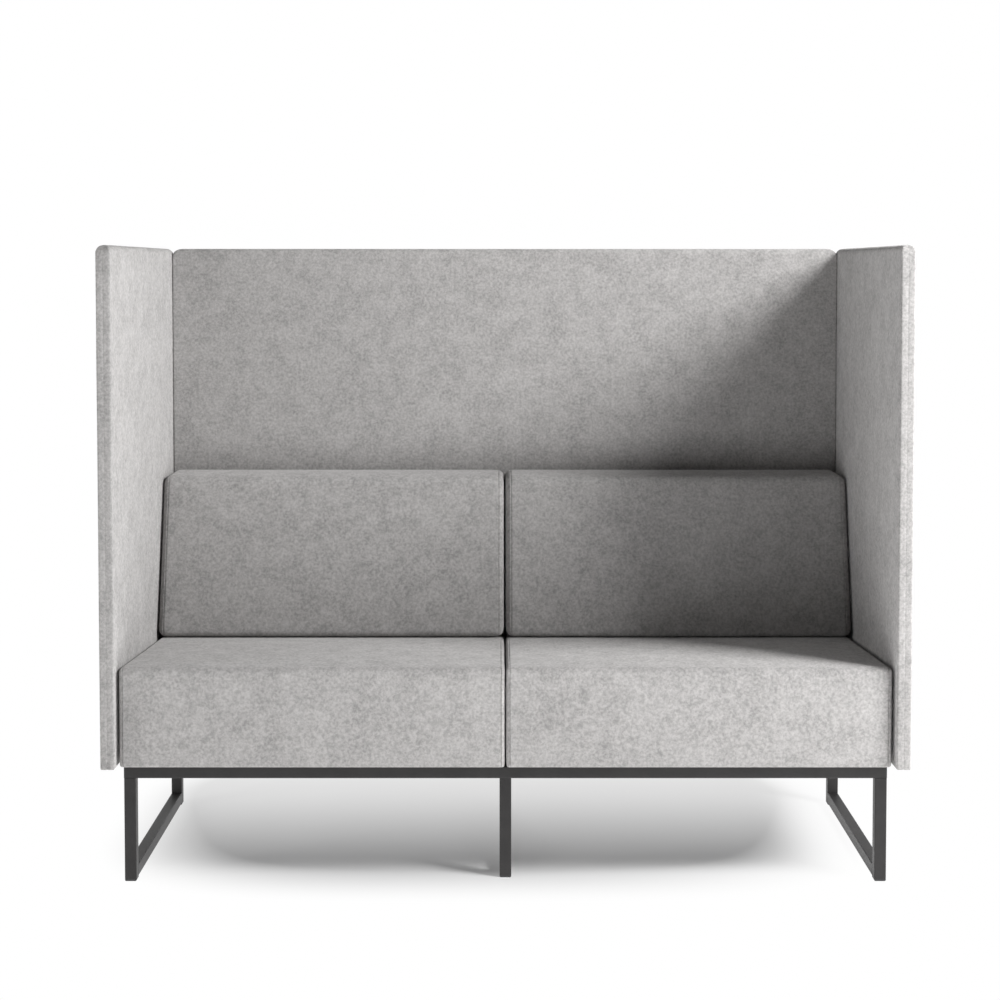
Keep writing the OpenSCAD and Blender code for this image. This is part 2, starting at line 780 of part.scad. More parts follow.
// Holes in the back panel for bolts, inserts and screws
module back_panel_cuts(bolt_hole, screw_hole) {
    for (side = SIDES, x = rear_bolt_xs)
        rod_y(back_face_y - overrun, back_face_y + board_skin + insert_l + layer_gap,
            side * seat_x + x, side_bolt_z, bolt_hole);
    cleat_screw_places(cleat_xs)
        rod_y(back_face_y - overrun, back_face_y - cleat_t + screw_l + layer_gap, 0, wall_screw_z,
            screw_hole);
    for (side = SIDES, z = plate_zs, s = SIDES)
        rod_x(side * (back_end_x - corner_screw_l), side * (back_end_x + overrun),
            plate_y, z + s * plate_screw_pitch / 2, screw_hole);
}

module side_panel_board(side) {
    color(plywood) difference() {
        at_side_panel(side) panel_core(overall_d, board_skin);
        side_panel_cuts(side, insert_d + 2 * thread_gap, screw_d + 2 * thread_gap);
    }
}

module side_panel_padding(side) {
    color(wadding_white) difference() {
        at_side_panel(side) panel_shell(overall_d, felt_t + layer_gap, board_skin - layer_gap);
        side_panel_cuts(side, bolt_hole_d, screw_hole_d);
    }
}

module side_panel_cover(side) {
    color(felt_grey) difference() {
        at_side_panel(side) panel_shell(overall_d, 0, felt_t);
        side_panel_cuts(side, bolt_hole_d, screw_hole_d);
    }
}

module back_panel_board() {
    color(plywood) difference() {
        at_back_panel() panel_core(back_panel_w, board_skin);
        back_panel_cuts(insert_d + 2 * thread_gap, screw_d + 2 * thread_gap);
    }
}

module back_panel_padding() {
    color(wadding_white) difference() {
        at_back_panel() panel_shell(back_panel_w, felt_t + layer_gap, board_skin - layer_gap);
        back_panel_cuts(bolt_hole_d, screw_hole_d);
    }
}

module back_panel_cover() {
    color(felt_grey) difference() {
        at_back_panel() panel_shell(back_panel_w, 0, felt_t);
        back_panel_cuts(bolt_hole_d, screw_hole_d);
    }
}

// Bolts from inside the seat frames into the boards of the panels
module panel_bolts() {
    color(black_steel) for (side = SIDES) {
        for (y = side_bolt_ys) {
            rod_x(side * (wall_inner_x - bolt_head_h), side * wall_inner_x, seat_y + y, side_bolt_z,
                bolt_head_d);
            rod_x(side * wall_inner_x, side * (side_face_x + board_skin + insert_l), seat_y + y, side_bolt_z,
                bolt_d);
        }
        for (x = rear_bolt_xs) {
            rod_y(wall_inner_y - bolt_head_h, wall_inner_y, side * seat_x + x, side_bolt_z, bolt_head_d);
            rod_y(wall_inner_y, back_face_y + board_skin + insert_l, side * seat_x + x, side_bolt_z,
                bolt_d);
        }
    }
}

module panel_inserts() {
    bore = bolt_d + 2 * thread_gap;
    color(black_steel) for (side = SIDES) {
        for (y = side_bolt_ys) difference() {
            rod_x(side * (side_face_x + board_skin), side * (side_face_x + board_skin + insert_l),
                seat_y + y, side_bolt_z, insert_d);
            rod_x(side * side_face_x, side * (side_face_x + panel_t), seat_y + y, side_bolt_z, bore);
        }
        for (x = rear_bolt_xs) difference() {
            rod_y(back_face_y + board_skin, back_face_y + board_skin + insert_l,
                side * seat_x + x, side_bolt_z, insert_d);
            rod_y(back_face_y, back_face_y + panel_t, side * seat_x + x, side_bolt_z, bore);
        }
    }
}

// Hook plates on the ends of the back panel and receiver plates on the side panels

module corner_plate(x0, x1, z) {
    box([min(x0, x1), plate_y - plate_w / 2, z - plate_h / 2],
        [max(x0, x1), plate_y + plate_w / 2, z + plate_h / 2]);
}

// Countersunk screw along X: its head is flush at the start and fills the plate
module flush_screw(x, way, z, grow) {
    translate([x, plate_y, z]) rotate([0, 90 * way, 0]) {
        cylinder(h = plate_t, d1 = screw_head_d + 2 * grow, d2 = screw_d + 2 * grow, $fn = round_steps);
        cylinder(h = corner_screw_l - grow, d = screw_d + 2 * grow, $fn = round_steps);
    }
}

module at_corners() {
    for (side = SIDES, z = plate_zs) {
        $side = side;
        $z = z;
        children();
    }
}

// Hook between two distances from the middle plane
module hook(near, far) {
    box([min($side * near, $side * far), plate_y - hook_t / 2, $z - hook_h / 2],
        [max($side * near, $side * far), plate_y + hook_t / 2, $z + hook_h / 2]);
}

module corner_hooks() {
    color(black_steel) at_corners() {
        difference() {
            corner_plate($side * back_end_x, $side * (back_end_x + plate_t), $z);
            for (s = SIDES)
                flush_screw($side * (back_end_x + plate_t), -$side, $z + s * plate_screw_pitch / 2,
                    thread_gap);
        }
        hook(back_end_x + plate_t, side_face_x + hook_reach);
    }
}

module corner_receivers() {
    color(black_steel) at_corners() difference() {
        corner_plate($side * (side_face_x - plate_t), $side * side_face_x, $z);
        hook_cut($side, $z, $side * (side_face_x - overrun), $side * (side_face_x + overrun));
        for (s = SIDES)
            flush_screw($side * (side_face_x - plate_t), $side, $z + s * plate_screw_pitch / 2, thread_gap);
    }
}

module corner_screws() {
    color(black_steel) at_corners()
    for (s = SIDES) {
        flush_screw($side * (back_end_x + plate_t), -$side, $z + s * plate_screw_pitch / 2, 0);
        flush_screw($side * (side_face_x - plate_t), $side, $z + s * plate_screw_pitch / 2, 0);
    }
}

front_rail();
rear_rail();
top_bar(-end_tube_x);  // left_top_bar
top_bar(0);  // centre_top_bar
top_bar(end_tube_x);  // right_top_bar
end_leg(-end_tube_x, front_rail_y);  // left_front_leg
end_leg(-end_tube_x, rear_rail_y);  // left_rear_leg
end_runner(-end_tube_x);  // left_runner
end_leg(0, centre_front_y);  // centre_front_leg
end_leg(0, centre_rear_y);  // centre_rear_leg
centre_runner();
end_leg(end_tube_x, front_rail_y);  // right_front_leg
end_leg(end_tube_x, rear_rail_y);  // right_rear_leg
end_runner(end_tube_x);  // right_runner
floor_glides();
rail_end_caps();
seat_bolts();
seat_washers();
seat_inserts();
seat_frame(LEFT);  // left_seat_frame
seat_frame(RIGHT);  // right_seat_frame
seat_webbing(LEFT);  // left_seat_webbing
seat_webbing(RIGHT);  // right_seat_webbing
seat_foam(LEFT);  // left_seat_foam
seat_foam(RIGHT);  // right_seat_foam
seat_cover(LEFT);  // left_seat_cover
seat_cover(RIGHT);  // right_seat_cover
dust_cover(LEFT);  // left_dust_cover
dust_cover(RIGHT);  // right_dust_cover
link_bolts();
link_nuts();
back_board(LEFT);  // left_back_board
back_board(RIGHT);  // right_back_board
back_foam(LEFT);  // left_back_foam
back_foam(RIGHT);  // right_back_foam
back_cover(LEFT);  // left_back_cover
back_cover(RIGHT);  // right_back_cover
cushion_cleats();
wall_cleats();
cleat_screws();
side_panel_board(LEFT);  // left_panel_board
side_panel_padding(LEFT);  // left_panel_padding
side_panel_cover(LEFT);  // left_panel_cover
side_panel_board(RIGHT);  // right_panel_board
side_panel_padding(RIGHT);  // right_panel_padding
side_panel_cover(RIGHT);  // right_panel_cover
back_panel_board();
back_panel_padding();
back_panel_cover();
panel_bolts();
panel_inserts();
corner_hooks();
corner_receivers();
corner_screws();
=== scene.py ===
"""Looks of the high-back sofa for two: felt cushions and panels, its square-tube underframe and its fittings.

Every length is in metres, in the frame of the construction: the front faces -Y, +X runs to the right as seen
from the front, and the floor is at Z = 0.
"""

import json
import logging
import math
from collections.abc import Callable
from dataclasses import dataclass
from enum import Enum

import bmesh
import bpy
import numpy as np
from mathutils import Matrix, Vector, noise


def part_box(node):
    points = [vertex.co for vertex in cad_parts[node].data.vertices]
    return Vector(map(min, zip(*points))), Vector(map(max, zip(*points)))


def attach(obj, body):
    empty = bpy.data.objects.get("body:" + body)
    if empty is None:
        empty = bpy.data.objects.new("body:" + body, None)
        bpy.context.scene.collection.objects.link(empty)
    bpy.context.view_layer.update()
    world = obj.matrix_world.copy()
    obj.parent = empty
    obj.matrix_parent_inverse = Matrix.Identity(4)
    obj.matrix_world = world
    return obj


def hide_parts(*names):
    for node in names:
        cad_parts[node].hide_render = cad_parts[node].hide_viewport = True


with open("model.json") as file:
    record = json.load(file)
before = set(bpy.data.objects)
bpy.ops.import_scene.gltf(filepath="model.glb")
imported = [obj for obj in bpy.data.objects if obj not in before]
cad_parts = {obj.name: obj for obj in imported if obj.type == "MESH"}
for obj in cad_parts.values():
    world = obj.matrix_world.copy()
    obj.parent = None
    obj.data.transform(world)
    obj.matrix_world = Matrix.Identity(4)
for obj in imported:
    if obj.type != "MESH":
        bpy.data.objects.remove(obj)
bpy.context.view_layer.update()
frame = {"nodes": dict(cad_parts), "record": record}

LOG = logging.getLogger("sofa")
BODY = "root"
FELT = "wool_felt"
WHITE = (1, 1, 1, 1)

# Shares of a direction that point along another one, past which it counts as turned that way
MOSTLY = 0.7
NEARLY = 0.9
# The turn between two faces, in radians, past which the edge between them is a rim
RIM_ANGLE = 1.2
# Vertices that lie closer together than this become one
MERGE_DISTANCE = 0.0002

# A point of a plane and its normal
Plane = tuple[Vector, Vector]


class Side(Enum):
    """The two halves of the sofa, as seen from the front."""

    LEFT = "left"
    RIGHT = "right"


class Axis(Enum):
    """The three directions of the frame."""

    X = Vector((1, 0, 0))
    Y = Vector((0, 1, 0))
    Z = Vector((0, 0, 1))


class Part(Enum):
    """What a selection in edit mode is made of."""

    VERTS = "VERT"
    EDGES = "EDGE"
    FACES = "FACE"


def deselect_all() -> None:
    """Deselects every object."""
    bpy.ops.object.select_all(action="DESELECT")


def activate(obj: bpy.types.Object) -> None:
    """Makes one object the only selected one, and the active one.

    Args:
        obj: The object that the next operator acts on.
    """
    deselect_all()
    obj.select_set(True)
    bpy.context.view_layer.objects.active = obj


def apply_modifiers(obj: bpy.types.Object) -> None:
    """Applies every modifier of an object, in order.

    Args:
        obj: The object whose modifiers become part of its mesh.
    """
    activate(obj)
    for modifier in list(obj.modifiers):
        bpy.ops.object.modifier_apply(modifier=modifier.name)


class Bench:
    """A mesh held in edit mode, with tools that select by place and shape what is selected."""

    def __init__(self, obj: bpy.types.Object) -> None:
        """Takes the object whose mesh is shaped."""
        self.obj = obj

    def __enter__(self) -> "Bench":
        """Enters edit mode with nothing selected.

        Returns:
            The bench itself.
        """
        activate(self.obj)
        bpy.ops.object.mode_set(mode="EDIT")
        bpy.ops.mesh.select_all(action="DESELECT")
        return self

    def __exit__(self, *_: object) -> None:
        """Leaves edit mode."""
        bpy.ops.object.mode_set(mode="OBJECT")

    def mesh(self) -> bmesh.types.BMesh:
        """Returns the mesh as edit mode holds it."""
        return bmesh.from_edit_mesh(self.obj.data)

    def select(self, part: Part, test: Callable[[object], bool]) -> int:
        """Selects the vertices, edges or faces that pass a test, and nothing else.

        Args:
            part: What is selected.
            test: Says of one vertex, edge or face whether it is selected.

        Returns:
            How many are selected.
        """
        bpy.ops.mesh.select_all(action="DESELECT")
        bpy.ops.mesh.select_mode(type=part.value)
        mesh = self.mesh()
        rows = {Part.VERTS: mesh.verts, Part.EDGES: mesh.edges, Part.FACES: mesh.faces}[part]
        chosen = [row for row in rows if test(row)]
        for row in chosen:
            row.select_set(True)
        mesh.select_flush_mode()
        bmesh.update_edit_mesh(self.obj.data)
        return len(chosen)

    def cut(self, point: Vector, normal: Vector, group: str | None = None) -> None:
        """Cuts the whole mesh with a plane, which adds a loop of edges.

        Args:
            point: A point of the plane.
            normal: The plane's normal.
            group: The vertex group that the loop is put into, if it is given.
        """
        bpy.ops.mesh.select_mode(type="VERT")
        bpy.ops.mesh.select_all(action="SELECT")
        bpy.ops.mesh.bisect(plane_co=point, plane_no=normal)
        if group is not None:
            self.obj.vertex_groups.active = self.obj.vertex_groups[group]
            bpy.ops.object.vertex_group_assign()

    def recess(self, test: Callable[[object], bool], move: Vector) -> None:
        """Sinks the faces that pass a test, with upright walls and sharp rims round them.

        Args:
            test: Says of one face whether it is sunk.
            move: How far the faces move.
        """
        if self.select(Part.FACES, test):
            bpy.ops.mesh.extrude_region_move(TRANSFORM_OT_translate={"value": move})
            self.select(Part.EDGES, lambda e: e.is_manifold and e.calc_face_angle() > RIM_ANGLE)
            bpy.ops.transform.edge_crease(value=1)


def add_block(name: str, low: Vector, high: Vector) -> bpy.types.Object:
    """Adds a box between two corners, as the start of a piece.

    Args:
        name: The name of the piece.
        low: The lowest corner.
        high: The highest corner.

    Returns:
        The box, whose origin is the frame's.
    """
    deselect_all()
    bpy.ops.mesh.primitive_cube_add(size=1, location=(low + high) / 2)
    block = bpy.context.active_object
    block.name = name
    block.data.name = name
    block.scale = high - low
    activate(block)
    bpy.ops.object.transform_apply(location=True, rotation=True, scale=True)
    return block


def dress(obj: bpy.types.Object, material: bpy.types.Material) -> None:
    """Gives a new piece its material and its place in the assembly.

    Args:
        obj: The piece.
        material: Its finish.
    """
    obj.data.materials.clear()
    obj.data.materials.append(material)
    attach(obj, BODY)


Socket = bpy.types.NodeSocket
Value = float | tuple | Socket


class Tree:
    """A node tree that is being written: each call adds one node and returns its output."""

    def __init__(self, nodes: bpy.types.NodeTree) -> None:
        """Takes a material's node tree or a node group to write in."""
        self.tree = nodes

    def add(self, kind: str, inputs: dict | None = None, **settings: object) -> bpy.types.Node:
        """Adds a node.

        Args:
            kind: The node's type without its common beginning, such as TexNoise.
            inputs: Values or sockets by the name or number of the input.
            **settings: Properties of the node.

        Returns:
            The new node.
        """
        node = self.tree.nodes.new("ShaderNode" + kind)
        for name, value in settings.items():
            setattr(node, name, value)
        self.feed_all(node, inputs or {})
        return node

    def feed_all(self, node: bpy.types.Node, inputs: dict) -> None:
        """Feeds inputs of a node, given by their names or numbers."""
        for name, value in inputs.items():
            self.feed(node.inputs[name], value)

    def feed(self, target: Socket, value: Value) -> None:
        """Links a socket to an input, or sets the input's value.

        Args:
            target: The input.
            value: A socket, a number or a tuple of numbers.
        """
        if isinstance(value, Socket):
            self.tree.links.new(value, target)
        elif isinstance(value, tuple) and len(value) == 3 and target.type == "RGBA":
            target.default_value = (*value, 1)
        else:
            target.default_value = value

    def math(self, operation: str, *values: Value, clamp: bool = False) -> Socket:
        """Returns the result of a new Math node, kept between 0 and 1 if clamp is set."""
        return self.add("Math", dict(enumerate(values)), operation=operation, use_clamp=clamp).outputs[0]

    def noise(self, vector: Value, scale: Value, detail: float = 2.0, roughness: float = 0.5,
              distortion: float = 0.0) -> Socket:
        """Returns a noise from 0 to 1, whose scale says how many waves it has in a unit of the vector."""
        return self.add("TexNoise", {"Vector": vector, "Scale": scale, "Detail": detail,
                                     "Roughness": roughness, "Distortion": distortion}).outputs[0]

    def ramp(self, value: Value, low: float, high: float, to_low: float = 0.0,
             to_high: float = 1.0) -> Socket:
        """Returns a value that runs smoothly from to_low to to_high while the given one passes its range."""
        return self.add("MapRange", {"Value": value, "From Min": low, "From Max": high, "To Min": to_low,
                                     "To Max": to_high}, interpolation_type="SMOOTHSTEP").outputs[0]

    def mix(self, share: Value, first: Value, second: Value) -> Socket:
        """Returns a mix of two colours that holds a share of the second one."""
        return self.add("Mix", {0: share, 6: first, 7: second}, data_type="RGBA").outputs[2]

    def place(self, scale: tuple = (1.0, 1.0, 1.0)) -> Socket:
        """Returns the place on the object, stretched along its axes by three factors."""
        here = self.add("TexCoord").outputs["Object"]
        return self.add("Mapping", {"Vector": here, "Scale": scale}).outputs[0]

    def bump(self, height: Value, depth: float) -> Socket:
        """Returns the normal that a height from 0 to 1 bends, where 1 measures the depth in metres."""
        return self.add("Bump", {"Height": height, "Distance": depth}).outputs[0]


@dataclass(frozen=True)
class MattedFibres:
    """The shader group of matted fibres: flecks and patches with strands among them, clouds and relief."""

    # Waves of each kind in the width of one fleck
    patches_per_fleck: float = 0.42
    strands_per_fleck: float = 2.1
    fuzz_per_fleck: float = 6.0
    # Where each kind sets in and is full, in its noise
    fleck_range: tuple[float, float] = (0.34, 0.68)
    patch_range: tuple[float, float] = (0.38, 0.66)
    # Strands run among the flecks, and fade out this far from the middle of the crooked noise
    strand_range: tuple[float, float] = (0.4, 0.6)
    strand_reach: float = 0.14
    # How dark each kind is
    fleck_darkness: float = 0.68
    patch_darkness: float = 0.28
    strand_darkness: float = 0.14
    # How high the strands and the fuzz stand
    strand_height: float = 0.35
    fuzz_height: float = 0.55

    NAME = "matted_fibres"
    INPUTS = {"Vector": "NodeSocketVector", "Strand Size": "NodeSocketFloat",
              "Cloud Size": "NodeSocketFloat"}
    OUTPUTS = ("Strands", "Clouds", "Relief")

    def make(self) -> None:
        """Makes the group, which the finishes find by its name."""
        group = bpy.data.node_groups.new(self.NAME, "ShaderNodeTree")
        for name, kind in self.INPUTS.items():
            group.interface.new_socket(name=name, in_out="INPUT", socket_type=kind)
        for name in self.OUTPUTS:
            group.interface.new_socket(name=name, in_out="OUTPUT", socket_type="NodeSocketFloat")
        tree = Tree(group)
        given = group.nodes.new("NodeGroupInput").outputs
        vector = given["Vector"]
        fleck_scale = tree.math("DIVIDE", 1.0, given["Strand Size"])
        cloud_scale = tree.math("DIVIDE", 1.0, given["Cloud Size"])
        patch_scale, strand_scale, fuzz_scale = (
            tree.math("MULTIPLY", fleck_scale, share)
            for share in (self.patches_per_fleck, self.strands_per_fleck, self.fuzz_per_fleck))
        flecks = tree.noise(vector, fleck_scale, detail=4.0, roughness=0.68, distortion=0.3)
        patches = tree.noise(vector, patch_scale, detail=2.0, roughness=0.6, distortion=0.4)
        crooked = tree.noise(vector, strand_scale, detail=3.0, roughness=0.55, distortion=2.0)
        clouds = tree.noise(vector, cloud_scale, detail=3.0, roughness=0.55)
        fuzz = tree.noise(vector, fuzz_scale, detail=3.0, roughness=0.6, distortion=1.0)
        # A strand runs where the crooked noise crosses its middle value
        ridge = tree.math("ABSOLUTE", tree.math("SUBTRACT", crooked, 0.5))
        strands = tree.math("MULTIPLY", tree.ramp(ridge, 0.0, self.strand_reach, 1.0, 0.0),
                            tree.ramp(flecks, *self.strand_range))
        spotted = tree.math(
            "ADD", tree.math("MULTIPLY", tree.ramp(flecks, *self.fleck_range), self.fleck_darkness),
            tree.math("MULTIPLY", tree.ramp(patches, *self.patch_range), self.patch_darkness))
        joined = tree.math("ADD", spotted, tree.math("MULTIPLY", strands, self.strand_darkness), clamp=True)
        relief = tree.math("ADD", tree.math("MULTIPLY", crooked, self.strand_height),
                           tree.math("MULTIPLY", fuzz, self.fuzz_height))
        tree.feed_all(group.nodes.new("NodeGroupOutput"), dict(zip(self.OUTPUTS, (joined, clouds, relief))))


@dataclass(frozen=True)
class Finish:
    """A finish with its name, its colours and its plain shader values."""

    name: str
    light: tuple[float, float, float]
    dark: tuple[float, float, float]
    roughness: float = 0.9
    sheen: float = 0.0
    specular: float = 0.5

    def start(self) -> tuple[bpy.types.Material, Tree, bpy.types.Node]:
        """Starts the material.

        Returns:
            The material, its tree and its Principled shader.
        """
        material = bpy.data.materials.new(self.name)
        material.use_nodes = True
        material.diffuse_color = (*self.light, 1)
        tree = Tree(material.node_tree)
        shader = material.node_tree.nodes["Principled BSDF"]
        tree.feed_all(shader, {"Roughness": self.roughness, "Specular IOR Level": self.specular,
                               "Sheen Weight": self.sheen})
        return material, tree, shader


@dataclass(frozen=True)
class FibreFinish(Finish):
    """Felt, wadding or another matted cloth."""

    strand_size: float = 0.005
    cloud_size: float = 0.05
    relief: float = 0.0004
    # Share of the dark colour where the fibres are darkest
    strand_share: float = 0.8
    # Where the clouds set in and are full, how far they thin out and thicken the flecks, and how far
    # they shade the ground
    cloud_range: tuple[float, float] = (0.3, 0.7)
    cloud_density: float = 0.14
    cloud_shade: float = 0.12
    diffuse_roughness: float = 0.8

    def make(self) -> bpy.types.Material:
        """Makes the material. The group of matted fibres has to be there.

        Returns:
            The finished material.
        """
        material, tree, shader = self.start()
        fibres = tree.add("Group", {
            "Vector": tree.place(), "Strand Size": self.strand_size, "Cloud Size": self.cloud_size,
        }, node_tree=bpy.data.node_groups[MattedFibres.NAME]).outputs
        thin, thick = ((1 + way * self.cloud_density) * self.strand_share for way in (-1, 1))
        density = tree.ramp(fibres["Clouds"], *self.cloud_range, thin, thick)
        share = tree.math("MULTIPLY", fibres["Strands"], density)
        shade = tree.ramp(fibres["Clouds"], *self.cloud_range, 0.0, self.cloud_shade)
        tree.feed_all(shader, {
            "Base Color": tree.mix(shade, tree.mix(share, self.light, self.dark), self.dark),
            "Normal": tree.bump(fibres["Relief"], self.relief),
            "Diffuse Roughness": self.diffuse_roughness,
        })
        return material


@dataclass(frozen=True)
class PlainFinish(Finish):
    """Powder coat, bare steel or moulded plastic: a smooth ground with a fine grain."""

    grain_size: float = 0.0006
    relief: float = 0.00005
    roughness_spread: float = 0.07
    grain_range: tuple[float, float] = (0.2, 0.8)
    # Waves per metre of the colour's clouds, and where they set in and are full
    cloud_scale: float = 14.0
    cloud_range: tuple[float, float] = (0.35, 0.7)

    def make(self) -> bpy.types.Material:
        """Makes the material.

        Returns:
            The finished material.
        """
        material, tree, shader = self.start()
        grain = tree.noise(tree.place(), 1.0 / self.grain_size, detail=2.0, roughness=0.6)
        clouds = tree.noise(tree.place(), self.cloud_scale, detail=4.0, roughness=0.6)
        tree.feed_all(shader, {
            "Base Color": tree.mix(tree.ramp(clouds, *self.cloud_range), self.light, self.dark),
            "Roughness": tree.ramp(grain, *self.grain_range, self.roughness - self.roughness_spread,
                                   self.roughness + self.roughness_spread),
            "Normal": tree.bump(grain, self.relief),
        })
        return material


@dataclass(frozen=True)
class PlyFinish(Finish):
    """Birch plywood: veneer grain on its faces and thin layers on its edges."""

    thin_axis: Axis = Axis.Z
    layer: float = 0.0015
    relief: float = 0.0001
    # How dense the grain is, along the veneer and across it
    grain_scale: float = 9.0
    grain_along: float = 1.2
    grain_across: float = 20.0
    grain_range: tuple[float, float] = (0.35, 0.7)
    layer_range: tuple[float, float] = (-0.3, 0.3)
    # How much of a surface's normal lies along the thin axis where layers give way to veneer
    face_range: tuple[float, float] = (0.5, 0.8)

    def make(self) -> bpy.types.Material:
        """Makes the material.

        Returns:
            The finished material.
        """
        material, tree, shader = self.start()
        along, across = self.grain_along, self.grain_across
        stretch = (across, across, along) if self.thin_axis is Axis.X else (along, across, across)
        grain = tree.noise(tree.place(stretch), self.grain_scale, detail=5.0, roughness=0.6, distortion=0.6)
        place = tree.add("SeparateXYZ", {"Vector": tree.place()})
        depth = place.outputs[self.thin_axis.name]
        wave = tree.math("SINE", tree.math("MULTIPLY", depth, math.pi / self.layer))
        facing = tree.add("VectorMath", {
            0: tree.add("NewGeometry").outputs["Normal"], 1: tuple(self.thin_axis.value),
        }, operation="DOT_PRODUCT")
        on_face = tree.ramp(tree.math("ABSOLUTE", facing.outputs["Value"]), *self.face_range)
        veneer = tree.mix(tree.ramp(grain, *self.grain_range), self.light, self.dark)
        layers = tree.mix(tree.ramp(wave, *self.layer_range), self.dark, self.light)
        tree.feed_all(shader, {"Base Color": tree.mix(on_face, layers, veneer),
                               "Normal": tree.bump(grain, self.relief)})
        return material


@dataclass(frozen=True)
class WebFinish(Finish):
    """Woven webbing or a non-woven sheet: threads that cross at a small pitch."""

    pitch: float = 0.0016
    relief: float = 0.0002
    thread_range: tuple[float, float] = (-0.6, 0.6)

    def make(self) -> bpy.types.Material:
        """Makes the material.

        Returns:
            The finished material.
        """
        material, tree, shader = self.start()
        place = tree.add("SeparateXYZ", {"Vector": tree.place()})
        waves = [tree.math("SINE", tree.math("MULTIPLY", place.outputs[i], math.tau / self.pitch))
                 for i in (0, 1)]
        weave = tree.math("MULTIPLY", *waves)
        tree.feed_all(shader, {
            "Base Color": tree.mix(tree.ramp(weave, *self.thread_range), self.dark, self.light),
            "Normal": tree.bump(tree.ramp(weave, -1.0, 1.0), self.relief),
        })
        return material


FINISHES = (
    FibreFinish(FELT, (0.608, 0.594, 0.586), (0.2, 0.195, 0.193), roughness=0.95, sheen=0.12,
                specular=0.2, strand_size=0.006, relief=0.0006, strand_share=0.56),
    FibreFinish("wadding", (0.88, 0.87, 0.84), (0.7, 0.69, 0.66), roughness=1.0, specular=0.1,
                strand_size=0.012, relief=0.0015, strand_share=0.5),
    FibreFinish("foam", (0.85, 0.8, 0.68), (0.66, 0.6, 0.46), roughness=1.0, specular=0.1,
                strand_size=0.002, relief=0.0006, strand_share=0.5),
    WebFinish("black_cloth", (0.035, 0.035, 0.038), (0.012, 0.012, 0.013)),
    PlainFinish("powder_coat", (0.026, 0.0245, 0.0245), (0.019, 0.018, 0.018), roughness=0.5,
                specular=0.3, relief=0.00006),
    PlainFinish("black_steel", (0.03, 0.03, 0.032), (0.018, 0.018, 0.019), roughness=0.6,
                specular=0.3, grain_size=0.0009, relief=0.00002),
    PlainFinish("nylon", (0.02, 0.02, 0.021), (0.012, 0.012, 0.013), roughness=0.55,
                grain_size=0.0008),
    *(PlyFinish(f"plywood_{axis.name.lower()}", (0.68, 0.5, 0.3), (0.45, 0.3, 0.16), roughness=0.7,
                thin_axis=axis) for axis in Axis),
)


def section(*corners: tuple[float, float]) -> tuple[Vector, ...]:
    """Returns the corners of a section across X, from their places along Y and Z."""
    return tuple(Vector((0, y, z)) for y, z in corners)


